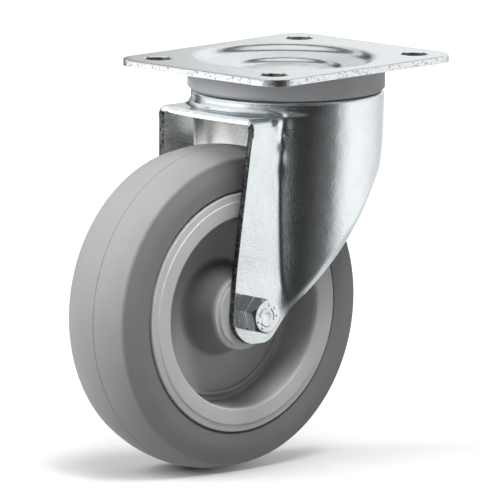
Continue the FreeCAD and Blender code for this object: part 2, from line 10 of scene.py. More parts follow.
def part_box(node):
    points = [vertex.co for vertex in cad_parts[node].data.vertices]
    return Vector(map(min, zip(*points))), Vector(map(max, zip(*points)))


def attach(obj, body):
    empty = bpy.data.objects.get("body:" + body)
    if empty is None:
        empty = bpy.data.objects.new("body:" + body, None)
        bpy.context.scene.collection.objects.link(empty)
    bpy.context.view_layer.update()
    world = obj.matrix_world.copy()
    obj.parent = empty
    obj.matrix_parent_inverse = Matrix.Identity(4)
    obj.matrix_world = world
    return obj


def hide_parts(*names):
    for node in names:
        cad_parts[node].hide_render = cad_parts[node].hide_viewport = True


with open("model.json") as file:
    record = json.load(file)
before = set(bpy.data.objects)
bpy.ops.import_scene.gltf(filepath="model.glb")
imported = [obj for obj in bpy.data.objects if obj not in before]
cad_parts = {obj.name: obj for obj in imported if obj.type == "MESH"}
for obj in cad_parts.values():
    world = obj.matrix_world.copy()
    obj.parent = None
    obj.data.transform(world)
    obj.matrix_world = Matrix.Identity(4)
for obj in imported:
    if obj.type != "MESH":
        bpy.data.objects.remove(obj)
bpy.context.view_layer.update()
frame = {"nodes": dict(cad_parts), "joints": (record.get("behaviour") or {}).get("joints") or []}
scene = bpy.context.scene

# %% [markdown]
# A swivel castor has two jobs: it carries a corner of a trolley, and it lets that corner roll in any
# direction. A dished top plate bolts to the trolley, a pressed steel fork turns under it on two rings
# of balls, and the fork trails a rubber-tyred wheel. The engineering model gives every piece its place.
# This lesson gives each piece its finish, and rebuilds the pieces whose skin has to be finer than an
# engineering mesh, because bright plating shows every facet.

# %% Frame of reference
MM = 0.001
joints = {joint["name"]: joint for joint in frame["joints"]}
axle = np.array(joints["wheel_spin"]["pos_m"])
axle_way = np.array(joints["wheel_spin"]["axis"])
swing = math.atan2(-axle_way[0], axle_way[1])
print("the fork stands %.1f degrees off the plate's long side" % math.degrees(swing))

# %% [markdown]
# Finishes are written as arithmetic. A node's output is wrapped in a small class whose operators add
# the Math nodes, so that a mask can be written as 1 - worn * 0.5 and still be a node tree.


# %% Shader arithmetic
class Signal:
    """A number that changes over a surface. Arithmetic on it adds Math nodes."""

    def __init__(self, nodes, socket):
        self.nodes = nodes
        self.socket = socket

    def math(self, operation, first, second=0.0):
        return self.nodes.node("ShaderNodeMath", {"operation": operation}, {0: first, 1: second})

    def __add__(self, other):
        return self.math("ADD", self, other)

    __radd__ = __add__

    def __sub__(self, other):
        return self.math("SUBTRACT", self, other)

    def __rsub__(self, other):
        return self.math("SUBTRACT", other, self)

    def __mul__(self, other):
        return self.math("MULTIPLY", self, other)

    __rmul__ = __mul__

    def __abs__(self):
        return self.math("ABSOLUTE", self)


class Nodes:
    """A node tree that grows by calls. Each call returns the signal of the node that it adds."""

    def __init__(self, tree):
        self.tree = tree

    def node(self, kind, settings, inputs, output=0):
        """A node of one kind: its settings first, then the values or links of its sockets."""
        made = self.tree.nodes.new(kind)
        for key, setting in settings.items():
            if key == "stops":
                self.set_stops(made.color_ramp, setting)
            else:
                setattr(made, key, setting)
        for socket, number in inputs.items():
            self.join(made.inputs[socket], number)
        return Signal(self, made.outputs[output])

    def set_stops(self, ramp, stops):
        while len(ramp.elements) < len(stops):
            ramp.elements.new(0.5)
        for element, (place, colour) in zip(ramp.elements, stops):
            element.position = place
            element.color = colour

    def join(self, socket, number):
        if isinstance(number, Signal):
            self.tree.links.new(number.socket, socket)
        else:
            socket.default_value = number

    def place(self):
        """Object coordinates, in metres."""
        return self.node("ShaderNodeTexCoord", {}, {}, "Object")

    def seen_by(self, kind):
        """1 for one kind of ray, such as Camera, and 0 for the others."""
        return self.node("ShaderNodeLightPath", {}, {}, "Is %s Ray" % kind)

    def noise(self, size, detail=2.0, roughness=0.5):
        """Soft noise whose blotches are about one size across, in metres."""
        inputs = {"Vector": self.place(), "Scale": 1 / size, "Detail": detail, "Roughness": roughness}
        return self.node("ShaderNodeTexNoise", {}, inputs)

    def ramp(self, signal, stops):
        """Maps a number to another through grey stops."""
        greys = [(place, grey(level)) for place, level in stops]
        return self.node("ShaderNodeValToRGB", {"stops": greys}, {"Fac": signal})

    def mix(self, factor, first, second):
        """A colour between two colours."""
        inputs = {0: factor, 6: first, 7: second}
        return self.node("ShaderNodeMix", {"data_type": "RGBA"}, inputs, 2)


class Recipe(Nodes):
    """One material: a Principled shader and the nodes that feed it."""

    def __init__(self, name, **plain):
        self.material = bpy.data.materials.new(name)
        self.material.use_nodes = True
        super().__init__(self.material.node_tree)
        self.shader = self.tree.nodes["Principled BSDF"]
        for socket, number in plain.items():
            self.feed(socket.replace("_", " ").title(), number)

    def feed(self, name, number):
        self.join(self.shader.inputs[name], number)

    def bump(self, height, distance):
        """A bump of a real height, in metres, on the shader's normal."""
        inputs = {"Strength": 1.0, "Distance": distance, "Height": height}
        self.feed("Normal", self.node("ShaderNodeBump", {}, inputs))


def rgb(red, green, blue):
    """A colour as the shader takes it."""
    return (red, green, blue, 1.0)


def grey(level):
    return rgb(level, level, level)


def dress(node, *materials):
    """Puts materials on a node's or a piece's slots."""
    mesh = (frame["nodes"][node] if isinstance(node, str) else node).data
    while mesh.materials:
        mesh.materials.pop()
    for material in materials:
        mesh.materials.append(material)


# %% Zinc plating
def zinc(name, base, roughness, grain, wave=0.0):
    """Bright zinc: blue-white metal with fine crystals that catch the light one by one. Grain and
    wave are heights in metres: of the crystals, and of the sheet's own slow unevenness."""
    made = Recipe(name, metallic=1.0)
    crystals = made.noise(0.6 * MM, detail=2.0, roughness=0.6)
    clouds = made.noise(9 * MM, detail=3.0, roughness=0.55)
    tone = made.ramp(crystals * 0.5 + clouds * 0.5, [(0.35, 0.0), (0.65, 1.0)])
    made.feed("Base Color", made.mix(tone, rgb(*[level * 0.88 for level in base]), rgb(*base)))
    coarse = made.ramp(crystals, [(0.54, 0.0), (0.66, 1.0)])
    made.feed("Roughness", roughness - 0.06 + clouds * 0.12 + coarse * 0.09)
    made.bump(crystals * grain + clouds * wave, 1.0)
    return made.material


plate_zinc = zinc("plate_zinc", (0.85, 0.90, 0.92), 0.17, 0.035 * MM, 0.10 * MM)
fork_zinc = zinc("fork_zinc", (0.86, 0.91, 0.93), 0.15, 0.055 * MM, 0.14 * MM)
# The fork's inside faces get a lighter, whiter copy of its zinc: painted light.
inner_zinc_painted_light = zinc("inner_zinc_painted_light", (0.96, 0.97, 0.96), 0.20, 0.008 * MM)
bolt_zinc = zinc("bolt_zinc", (0.84, 0.865, 0.885), 0.14, 0.004 * MM)


def sheared(name, dark, light, roughness, stops):
    """The cut face of a sheet: plated, but torn and pitted. Stops say how much of it is torn."""
    made = Recipe(name, metallic=1.0)
    tears = made.noise(1.1 * MM, detail=4.0, roughness=0.7)
    whole = made.ramp(tears, stops)
    made.feed("Base Color", made.mix(whole, rgb(*dark), rgb(*light)))
    made.feed("Roughness", roughness + (1 - whole) * 0.2)
    made.bump(tears * (0.12 * MM), 1.0)
    return made.material


plate_cut = sheared("plate_cut", (0.16, 0.16, 0.16), (0.78, 0.80, 0.82), 0.18,
                    [(0.32, 0.0), (0.46, 1.0)])
# The leg's cut is torn like the others, and far darker than the same cut on the lip and the plate:
# painted shade.
leg_cut_painted_shade = sheared("leg_cut_painted_shade", (0.05, 0.05, 0.055), (0.26, 0.265, 0.27), 0.35,
                  [(0.42, 0.0), (0.66, 1.0)])
hole_cut = sheared("hole_cut", (0.10, 0.10, 0.10), (0.42, 0.41, 0.39), 0.35,
                   [(0.40, 0.0), (0.60, 1.0)])

# %% Plastics and rubber
# Painted shade for the wheel's recess: its dark colour, and how much of it the recess and the hub get.
PAINTED_SHADE = grey(0.02)
RECESS_PAINTED_SHADE, HUB_PAINTED_SHADE = 0.30, 0.52


def painted_shade_masks(recipe):
    """The masks of the painted shade in the wheel's side: how deep a point lies in it, and whether it
    is near the hub. The place along the axle is a dot product, and the radius is what is left of the
    distance. The first ramp's stops are places along the axle in 20 mm, and the second's are radii in
    50 mm."""
    vector = "ShaderNodeVectorMath"
    out = recipe.node(vector, {"operation": "SUBTRACT"}, {0: recipe.place(), 1: tuple(axle)})
    along = recipe.node(vector, {"operation": "DOT_PRODUCT"}, {0: out, 1: tuple(axle_way)}, "Value")
    far = recipe.node(vector, {"operation": "LENGTH"}, {0: out}, "Value")
    radius = far.math("SQRT", far * far - along * along)
    deep = recipe.ramp(abs(along) * 50, [(0.80, 1.0), (0.935, 0.0)])
    hub = recipe.ramp(radius * 20, [(0.352, 1.0), (0.396, 0.0)]) * deep
    return deep, hub


def moulded(name, base, roughness, size, depth, recess=False):
    """A moulded surface: one colour, faint clouds and a fine grain. A recess round the axle can get
    painted shade: its depth is the distance from the wheel's middle plane, and its hub gets darker
    still."""
    made = Recipe(name)
    grain = made.noise(size, detail=3.0, roughness=0.6)
    clouds = made.noise(20 * MM)
    tone = made.ramp(clouds, [(0.3, 0.0), (0.7, 1.0)])
    dark = rgb(*[level * 0.93 for level in base])
    colour = made.mix(tone, dark, rgb(*base))
    if recess:
        deep, hub = painted_shade_masks(made)
        # Painted shade: darker deep in the recess, and darker still round the hub.
        colour = made.mix(deep * RECESS_PAINTED_SHADE, colour, PAINTED_SHADE)
        colour = made.mix(hub * HUB_PAINTED_SHADE, colour, PAINTED_SHADE)
    made.feed("Base Color", colour)
    made.feed("Roughness", roughness - 0.04 + grain * 0.08)
    made.bump(grain, depth)
    return made.material


tyre_rubber = moulded("tyre_rubber", (0.235, 0.235, 0.24), 0.55, 0.6 * MM, 0.012 * MM)
# The wheel's plastic carries painted shade in its recess and round its hub.
wheel_plastic = moulded("wheel_plastic", (0.64, 0.64, 0.642), 0.40, 0.5 * MM, 0.008 * MM, recess=True)
ring_plastic = moulded("ring_plastic", (0.49, 0.494, 0.51), 0.5, 0.4 * MM, 0.006 * MM)
white_nylon = moulded("white_nylon", (0.6, 0.6, 0.58), 0.45, 0.4 * MM, 0.004 * MM)
cage_plastic = moulded("cage_plastic", (0.03, 0.03, 0.035), 0.4, 0.4 * MM, 0.004 * MM)
bearing_steel = zinc("bearing_steel", (0.75, 0.76, 0.78), 0.12, 0.001 * MM)
bare_steel = zinc("bare_steel", (0.56, 0.57, 0.58), 0.3, 0.004 * MM)

# %% Finishes for the pieces
finishes = {
    plate_zinc: ["top_plate", "kingpin", "lower_race_cup"],
    fork_zinc: ["fork"],
    bolt_zinc: ["kingpin_nut", "axle_bolt", "bolt_thin_nut", "lock_nut_washer", "axle_lock_nut"],
    bare_steel: ["kingpin_spacer", "axle_tube", "bearing_sleeve"],
    bearing_steel: ["upper_balls", "lower_balls", "rollers"],
    ring_plastic: ["swivel_dust_ring"],
    white_nylon: ["lock_nut_insert"],
    cage_plastic: ["roller_cage"],
    wheel_plastic: ["wheel_centre", "near_thrust_washer", "far_thrust_washer"],
    tyre_rubber: ["tyre"],
}
for material, nodes in finishes.items():
    for node in nodes:
        dress(node, material)

# %% [markdown]
# Bright plating mirrors the room, so the facets of an engineering mesh would show in it. The pieces
# that show most are therefore made again as fine skins: a grid of points from a formula of two
# parameters, worked out as whole arrays. The alternative, a subdivided cage, would round the pressed
# edges in places that are hard to control. Each skin rides on the body of the node that it stands for.


# %% Helpers for skins
SHARP = math.radians(40)


def soft_max(first, second, width):
    """The larger of two numbers, with a bend about width wide where they are equal:
    half of their sum plus the root of their squared difference and width squared."""
    return 0.5 * (first + second + np.sqrt((first - second) ** 2 + width ** 2))


def soft_min(first, second, width):
    """The smaller of two numbers, softened in the same way."""
    return -soft_max(-first, -second, width)


def smooth_step(low, high, number):
    """0 up to low, 1 from high on, and 3 t squared less 2 t cubed between. Low may be the larger."""
    share = np.clip((number - low) / (high - low), 0, 1)
    return share * share * (3 - 2 * share)


def rounded_line(corners, radii, steps):
    """A line through corners. A corner with a radius becomes an arc that touches both its sides,
    radius / tan(half the corner's angle) from the corner."""
    corners = [np.array(corner, float) for corner in corners]
    pieces = []
    for i, corner in enumerate(corners):
        radius = radii.get(i, 0)
        if not radius:
            pieces.append(corner[None])
            continue
        before = corners[i - 1] - corner
        after = corners[(i + 1) % len(corners)] - corner
        before, after = before / np.linalg.norm(before), after / np.linalg.norm(after)
        half = math.acos(before @ after) / 2
        middle = before + after
        centre = corner + middle / np.linalg.norm(middle) * radius / math.sin(half)
        first = corner + before * radius / math.tan(half) - centre
        last = corner + after * radius / math.tan(half) - centre
        sweep = math.pi - 2 * half
        share = np.linspace(0, 1, steps + 1)[:, None]
        arc = np.sin((1 - share) * sweep) * first + np.sin(share * sweep) * last
        pieces.append(centre + arc / math.sin(sweep))
    return np.concatenate(pieces)


def at_shares(line, shares, measured=3):
    """Points of a line at shares of its length. The first columns of the line are measured."""
    steps = np.linalg.norm(np.diff(line[:, :measured], axis=0), axis=1)
    along = np.concatenate([[0], np.cumsum(steps)])
    return np.stack([np.interp(shares * along[-1], along, column) for column in line.T], -1)


def patch(top, bottom, left, right, across, down):
    """A grid between four edge lines: the grid ruled from top to bottom, plus the grid ruled from
    left to right, less the one ruled from the four corners."""
    u, v = across[None, :, None], down[:, None, None]
    rows = (1 - v) * top[None] + v * bottom[None]
    columns = (1 - u) * left[:, None] + u * right[:, None]
    ends = (1 - v) * ((1 - u) * top[0] + u * top[-1]) + v * ((1 - u) * bottom[0] + u * bottom[-1])
    return rows + columns - ends


def quads(rows, columns):
    """The four-cornered faces of a grid, as numbers of its points."""
    first = np.arange(rows - 1)[:, None] * columns + np.arange(columns - 1)[None]
    return np.stack([first, first + 1, first + columns + 1, first + columns], -1).reshape(-1, 4)


def skin(name, grids, body, weld=0.002):
    """Joins grids of points, in millimetres, into one closed mesh that rides on a body.
    Each grid comes with the number of its material, or with one number for each row of faces.
    Points that are nearer to each other than weld become one."""
    points, faces, numbers, start = [], [], [], 0
    for grid, number in grids:
        rows, columns = grid.shape[:2]
        points.append(grid.reshape(-1, 3))
        faces.append(quads(rows, columns) + start)
        numbers.append(np.repeat(np.broadcast_to(number, rows - 1), columns - 1))
        start += rows * columns
    mesh = bpy.data.meshes.new(name)
    mesh.from_pydata(np.concatenate(points) * MM, [], np.concatenate(faces))
    mesh.polygons.foreach_set("material_index", np.concatenate(numbers).astype(np.int32))
    shell = bmesh.new()
    shell.from_mesh(mesh)
    bmesh.ops.remove_doubles(shell, verts=shell.verts, dist=weld * MM)
    bmesh.ops.recalc_face_normals(shell, faces=shell.faces)
    gaps = sum(1 for edge in shell.edges if len(edge.link_faces) != 2)
    shell.to_mesh(mesh)
    shell.free()
    mesh.shade_smooth()
    mesh.set_sharp_from_angle(angle=SHARP)
    piece = bpy.data.objects.new(name, mesh)
    scene.collection.objects.link(piece)
    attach(piece, body)
    print("%s: %d faces, %d open edges" % (name, len(mesh.polygons), gaps))
    return piece


def swung(points):
    """Points of the fork's own frame, turned to where the fork stands at rest."""
    x, y = points[..., 0], points[..., 1]
    turned_x = x * math.cos(swing) - y * math.sin(swing)
    turned_y = x * math.sin(swing) + y * math.cos(swing)
    return np.stack([turned_x, turned_y, points[..., 2]], -1)


# %% [markdown]
# The fork is pressed from one sheet. At any height its wall is a round bulge joined to two flat legs,
# and the press leaves the crease between them soft. A soft maximum says this in one line: from the
# swivel axis, the wall is as far as the bulge or as the leg, whichever is further. Above the wheel the
# wall stops at a neck, and a shelf with a bent edge joins it to the legs.

# %% Fork sizes
SHEET = 2.8
CROWN_TOP, CROWN_HOLE, CROWN_ROUND, CROWN_ROUND_INSIDE = -12.55, 12.0, 1.5, 0.6
BULGE, TAPER_TOP, TAPER, TAPER_BEND = 37.9, -33.0, 0.130, 1.2
TUCK, TUCK_REACH, TUCK_LEVELS = 1.0, 1.7, (-40.0, -52.0)
CREASE, CREASE_MORE, CREASE_LEVELS = 0.7, 1.7, (-83.0, -93.0)
NECK, NECK_FLARE = 36.6, 2.6
NECK_START, NECK_FULL = math.radians(130.5), math.radians(134.0)
NECK_FADE = math.radians(104.0), math.radians(140.0)
SHELF, SHELF_BEND = -18.0, 4.0
LEG_TOP, LEG_FOOT, LEG_BEND, LEG_BEND_WIDTH = 27.6, 22.6, -79.0, 0.5
FRONT, FRONT_SLOPE, LIP_BOW = -40.6, 6.0 / 87.4, 1.2
FOOT, FOOT_ROUND, HEEL, HEEL_ROUND = -105.4, 11.0, -27.8, 7.0
DIAGONAL, BACK_EDGE, BACK_ROUND = 48.2 / 58.3, -35.0, 18.0

# Levels under the back edge and under its round, and how high the middle of the foot's round is, as
# a share of its radius.
BELOW_BACK_EDGE, BELOW_BACK_ROUND, FOOT_MIDDLE = -40.0, -60.0, 0.29

# The marks of the press: angle, level, spread, reach, height.
PRESS_MARKS = np.array([(136.0, -21.0, 1.6, 2.2, 0.30), (134.2, -25.5, 1.3, 1.8, -0.28),
                        (135.0, -29.5, 1.5, 2.0, 0.26), (133.4, -34.0, 1.4, 2.6, -0.20),
                        (134.4, -39.0, 1.6, 3.0, 0.14), (131.0, -22.5, 2.2, 2.5, -0.18),
                        (137.5, -47.0, 2.0, 6.0, 0.08), (140.5, -26.0, 2.6, 3.5, -0.10)])


# %% Fork wall
def bulge_radius(z):
    """Upright, then tapering to the foot: the smaller of two straight lines."""
    return soft_min(BULGE + 0 * z, BULGE + TAPER * (z - TAPER_TOP), TAPER_BEND)


def edge_tuck(angle, z):
    """How far the wall is drawn in beside the cut diagonal edge: a bell curve of the distance."""
    aside = HEEL + (z - FOOT) * DIAGONAL - bulge_radius(z) * np.cos(angle)
    distance = np.maximum(aside, 0) / math.hypot(1, DIAGONAL)
    return TUCK * np.exp(-(distance / TUCK_REACH) ** 2) * smooth_step(*TUCK_LEVELS, z)


def leg_face(z):
    """The leg's distance from the middle: it leans in towards the foot, then stands upright."""
    lean = (LEG_TOP - LEG_FOOT) / (SHELF - LEG_BEND)
    return soft_max(LEG_FOOT + 0 * z, LEG_FOOT + lean * (z - LEG_BEND), LEG_BEND_WIDTH)


def press_marks(angle, z):
    """Small waves that the press leaves beside the top of the crease: each is a bump of one height
    at one angle and level, spread over a few degrees and millimetres."""
    where, level, spread, reach, height = PRESS_MARKS.T
    far = (np.degrees(angle)[..., None] - where) / spread
    down = (z[..., None] - level) / reach
    return (height * np.exp(-far ** 2 - down ** 2)).sum(-1)


def wall_radius(angle, z, inset):
    """The larger of the bulge's radius and the leg's distance over the sine of the angle, with a
    crease that is softer at the foot. The angle is measured from the back of the bulge, and inset is
    0 outside and the sheet's thickness inside."""
    leg = (leg_face(z) - inset) / np.sin(np.clip(angle, math.pi / 2, 3.0))
    marks = press_marks(angle, z) if inset == 0 else 0
    crease = CREASE + CREASE_MORE * smooth_step(*CREASE_LEVELS, z)
    return soft_max(bulge_radius(z) - edge_tuck(angle, z) - inset, leg, crease) + marks


def wall_point(angle, z, inset):
    radius = wall_radius(angle, z, inset)
    return np.stack([radius * np.cos(angle), -radius * np.sin(angle), z], -1)


def wall_angle(x, z, inset):
    """The angle at which the wall has a given x, found by halving the interval 40 times."""
    low, high = np.zeros_like(x), np.full_like(x, 2.9)
    for _ in range(40):
        middle = (low + high) / 2
        beyond = wall_radius(middle, z, inset) * np.cos(middle) > x
        low, high = np.where(beyond, middle, low), np.where(beyond, high, middle)
    return (low + high) / 2


# %% Fork columns
corner_angle = math.pi - math.atan2(LEG_TOP - SHELF_BEND, -FRONT)
crease_angle = math.pi - math.asin(LEG_TOP / BULGE)
back_shares = 1 - (1 - np.linspace(0, 1, 66)) ** 1.6
leg_shares = np.linspace(0, 1, 42) ** 1.15
front_shares = np.linspace(0, 1, 26)
down_shares = np.linspace(0, 1, 116)
print("shelf corner at %.1f degrees, crease at %.1f" % tuple(np.degrees((corner_angle, crease_angle))))


def crown_rows(angle, inset, shelf_end=None):
    """Rows of points from the crown's hole to the end of the shelf's bend, one column an angle.
    Where there is no shelf, its rows fall together and are welded. With shelf_end, the radius of the
    lip, the rows stop there and have no bend."""
    level, shelf = CROWN_TOP - inset, SHELF - inset
    outside = wall_radius(angle, shelf + 0 * angle, inset)
    width = smooth_step(NECK_START, NECK_FULL, angle) * (outside - (NECK - inset))
    neck = outside - width
    sine = np.sin(np.maximum(angle, math.pi / 2))
    full = NECK_FLARE + inset + (SHELF_BEND - inset) / sine
    scale = np.minimum(1, width / full) if shelf_end is None else np.ones_like(angle)
    if shelf_end is not None:
        neck = NECK - inset + 0 * angle
    faded = BULGE - inset - (BULGE - NECK) * smooth_step(*NECK_FADE, angle)
    flare, bend = (NECK_FLARE + inset) * scale, (SHELF_BEND - inset) * scale
    corner = CROWN_ROUND if inset == 0 else CROWN_ROUND_INSIDE
    quarter = np.linspace(0, math.pi / 2, 8)[1:, None]
    part = np.linspace(0, 1, 7)[1:, None]
    ends = outside - bend / sine if shelf_end is None else shelf_end
    hole = np.full_like(angle, CROWN_HOLE)[None]
    radius = [hole, CROWN_HOLE + (faded - corner - CROWN_HOLE) * part,
              faded - corner + corner * np.sin(quarter), faded + (neck - faded) * part ** 3,
              neck + flare * (1 - np.cos(quarter)), neck + flare + (ends - neck - flare) * part]
    top = level - corner
    height = [0 * hole + level, level + 0 * part * angle,
              level - corner * (1 - np.cos(quarter)) + 0 * angle,
              top + (shelf + flare - top) * part, shelf + flare * (1 - np.sin(quarter)),
              shelf + 0 * part * angle]
    radius, height = np.concatenate(radius), np.concatenate(height)
    rows = np.stack([radius * np.cos(angle), -radius * np.sin(angle), height], -1)
    if shelf_end is not None:
        return rows
    x, start, foot = rows[-1, :, 0], rows[-1, :, 1], shelf - bend
    x_foot = x - FRONT_SLOPE * (SHELF - foot) * (x / FRONT) ** 6 * (scale > 0)
    finish = wall_point(wall_angle(x_foot, foot, inset), foot, inset)[:, 1]
    finish = np.where(scale > 0, finish, start)
    y = start + (finish - start) * np.sin(quarter)
    bent = np.stack([x + (x_foot - x) * (1 - np.cos(quarter)), y,
                     shelf - bend * (1 - np.cos(quarter))], -1)
    return np.concatenate([rows, bent])


# %% [markdown]
# The cut edge of the legs is one line seen from the side: back edge, diagonal, heel, foot and front
# edge, with its corners rounded. The wall is divided at the crease into two patches, so that a column
# of points runs down the crease and the bend there is drawn by several narrow faces.

# %% Fork skins
LIP_POINTS = 30
CUT_PROUD, CORNER_CURL, SHEAR_STEPS, CORNER_TEARS = 0.28, 0.6, 0.05, 0.28
back_corner = HEEL + (BACK_EDGE - FOOT) * DIAGONAL
foot_front = FRONT - FRONT_SLOPE * (SHELF - FOOT)
cut_line = rounded_line(
    [(60, BACK_EDGE), (back_corner, BACK_EDGE), (HEEL, FOOT), (foot_front, FOOT), (FRONT, SHELF)],
    {1: BACK_ROUND, 2: HEEL_ROUND, 3: FOOT_ROUND}, steps=40)


def fork_half(inset):
    """The grids of one skin of the near half, the line where the sheet is cut, and the rim of the
    crown's hole. Each wall is planned first, as angles and levels or as x and levels, and then
    laid on the surface."""
    x, z = at_shares(cut_line, np.linspace(0, 1, 4000), 2).T
    on_wall = (x < wall_radius(0 * x, z, inset)) | (z < BELOW_BACK_EDGE)
    x, z = x[on_wall], z[on_wall]
    angle = wall_angle(x, z, inset)
    edge = np.concatenate([wall_point(angle, z, inset), angle[:, None]], 1)
    edge[0, :3] = wall_point(np.zeros(1), z[:1], inset)[0]
    edge[0, 3] = 0
    crease = math.pi - np.arcsin(np.clip(leg_face(z) / bulge_radius(z), 0, 1))
    # Three places on the cut: at the crease, on the foot's round, and at the foot of the shelf's bend.
    tip = np.argmax((wall_angle(x, z, 0) > crease) & (z < BELOW_BACK_ROUND))
    turn = len(z) - np.argmax(z[::-1] < FOOT + FOOT_ROUND * FOOT_MIDDLE) - 1
    top = np.argmax(z[turn:] > SHELF - SHELF_BEND) + turn
    back_angle = crease_angle * back_shares
    leg_angle = crease_angle + (corner_angle - crease_angle) * leg_shares
    crown_back, crown_leg = crown_rows(back_angle, inset), crown_rows(leg_angle, inset)

    below = at_shares(edge[:tip + 1], back_shares)
    above = crown_back[-1]
    above_angle = wall_angle(above[:, 0], above[:, 2], inset)
    above_angle[0] = 0
    levels = above[-1, 2] + (below[-1, 2] - above[-1, 2]) * down_shares
    ratio = (leg_face(levels) - inset) / (bulge_radius(levels) - inset)
    # The fold follows the crease, and bends to the columns that meet it above and below.
    fold = math.pi - np.arcsin(np.clip(ratio, 0, 1))
    fold += (above_angle[-1] - fold[0]) * (1 - down_shares) ** 8
    fold += (below[-1, 3] - fold[-1]) * down_shares ** 8
    back_levels = above[0, 2] + (below[0, 2] - above[0, 2]) * down_shares
    plan = patch(np.stack([above_angle, above[:, 2]], -1), below[:, [3, 2]],
                 np.stack([0 * back_levels, back_levels], -1), np.stack([fold, levels], -1),
                 back_shares, down_shares)
    back_wall = wall_point(plan[..., 0], plan[..., 1], inset)

    foot = at_shares(edge[tip:turn + 1], leg_shares)
    front = at_shares(edge[turn:top + 1][::-1], down_shares)
    crown_leg[-1, -1] = front[0, :3]
    side = patch(crown_leg[-1][:, [0, 2]], foot[:, [0, 2]], back_wall[:, -1][:, [0, 2]],
                 front[:, [0, 2]], leg_shares, down_shares)
    leg_wall = wall_point(wall_angle(side[..., 0], side[..., 1], inset), side[..., 1], inset)
    leg_wall[:, 0] = back_wall[:, -1]
    leg_wall[0] = crown_leg[-1]
    back_wall[0] = crown_back[-1]

    front_angle = corner_angle + (math.pi - corner_angle) * front_shares
    aside = np.tan(math.pi - front_angle) * -FRONT / (LEG_TOP - SHELF_BEND)
    lip = (-FRONT + LIP_BOW * (1 - aside ** 2)) / -np.cos(front_angle)
    crown_front = crown_rows(front_angle, inset, lip)
    shared = len(crown_front)
    crown_front[:, 0] = crown_leg[:shared, -1]
    cut = np.concatenate([crown_front[-1, ::-1], crown_leg[shared:, -1], leg_wall[1:, -1],
                          leg_wall[-1, -2::-1], back_wall[-1, -2::-1]])
    cut[-1, 1] = 0
    rim = np.concatenate([crown_back[0], crown_leg[0, 1:], crown_front[0, 1:]])
    grids = [crown_back, crown_leg, crown_front, back_wall, leg_wall]
    return grids, cut, rim


def cut_strip(outside, inside):
    """The cut face of the sheet, between two lines: straight across, and standing proud by a
    superellipse, 1 less the sixth power of the distance from its middle, so both edges are round.
    Its face has the small steps that the shears leave, and the lip's corners are curled and torn.
    It comes in two pieces, the lip's and the leg's."""
    share = np.array([0, 0.03, 0.09, 0.18, 0.32, 0.5, 0.68, 0.82, 0.91, 0.97, 1])[:, None, None]
    along = np.gradient(outside, axis=0)
    outward = np.cross(inside - outside, along)
    outward /= np.linalg.norm(outward, axis=1)[:, None]
    corner = np.exp(-((np.arange(len(outside)) - LIP_POINTS) / 3.5) ** 2)[:, None]
    torn = np.random.default_rng(4).normal(size=(len(share), len(outside), 1))
    torn *= SHEAR_STEPS + CORNER_TEARS * corner
    torn *= (share > 0.2) & (share < 0.95)
    rise = (CUT_PROUD + CORNER_CURL * corner) * (1 - np.abs(2 * share - 1) ** 6) + torn
    strip = outside * (1 - share) + inside * share + rise * outward
    strip[:, [0, -1], 1] = 0
    return strip[:, :LIP_POINTS], strip[:, LIP_POINTS - 1:]


outer_grids, outer_cut, outer_rim = fork_half(0.0)
inner_grids, inner_cut, inner_rim = fork_half(SHEET)
# The inner skin takes material number 2, the lighter copy of the zinc: painted light.
half = [(grid, 0) for grid in outer_grids] + [(grid, 2) for grid in inner_grids]
lip_strip, leg_strip = cut_strip(outer_cut, inner_cut)
# The leg strip's middle rows take the dark cut, painted shade; its round edges and the lip's strip keep
# the zinc.
half += [(lip_strip, 0), (leg_strip, np.array([0, 1, 1, 1, 1, 1, 1, 1, 1, 0])),
         (np.stack([outer_rim, inner_rim]), 0)]
mirrored = [(grid * np.array([1, -1, 1]), number) for grid, number in half]
fork_shell = skin("fork_shell", [(swung(grid), number) for grid, number in half + mirrored],
                  "fork_frame", weld=0.012)
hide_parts("fork")
dress(fork_shell, fork_zinc, leg_cut_painted_shade, inner_zinc_painted_light)

# %% [markdown]
# The wheel is two mouldings: a hard plastic centre and a rubber tyre cast round it. Both are round
# about the axle, so each is one section line carried round it. A lathe modifier would do the same, but
# the array form keeps the section readable: radius first, then place along the axle.


# %% Turned pieces
ROUND_STEPS = 240


def on_axle(points):
    """Points round the wheel's centre, turned with the fork and moved to the axle."""
    return swung(points) + axle / MM


def turned(section, segments):
    """A closed section (radius, place) carried round the axle: x = r cos t, z = r sin t, y = place."""
    angle = np.linspace(0, 2 * math.pi, segments + 1)
    radius, place = section[:, :1], section[:, 1:]
    grid = np.stack([radius * np.cos(angle), place + 0 * angle, radius * np.sin(angle)], -1)
    return on_axle(grid)


# %% Tyre
TREAD, TREAD_ARC, TREAD_HALF = 62.5, 38.5, 13.8
PARTING, PARTING_DEPTH, PARTING_WIDTH = -2.4, 0.22, 0.11


def tread_line():
    """The tread across, as (radius, place): an arc, with the mould's parting line as a fine groove."""
    place = np.unique(np.concatenate([np.linspace(-TREAD_HALF, TREAD_HALF, 49),
                                      PARTING + np.linspace(-0.3, 0.3, 9)]))
    radius = TREAD - TREAD_ARC + np.sqrt(TREAD_ARC ** 2 - place ** 2)
    radius -= PARTING_DEPTH * np.exp(-((place - PARTING) / PARTING_WIDTH) ** 2)
    return np.stack([radius, place], -1)


tread = tread_line()
side_corners = [(59.3, 15.7), (53.0, 17.6), (47.3, 17.6), (46.7, 16.2), (44.7, 16.1), (44.7, 0)]
shoulder = rounded_line([tread[-1]] + side_corners, {1: 1.9, 2: 14.0, 3: 0.5, 4: 0.2}, steps=10)
tyre_section = np.concatenate([tread, shoulder[1:], (shoulder * (1, -1))[::-1][1:]])
tyre_shell = skin("tyre_shell", [(turned(tyre_section, ROUND_STEPS), 0)], "wheel")
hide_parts("tyre")
dress(tyre_shell, tyre_rubber)

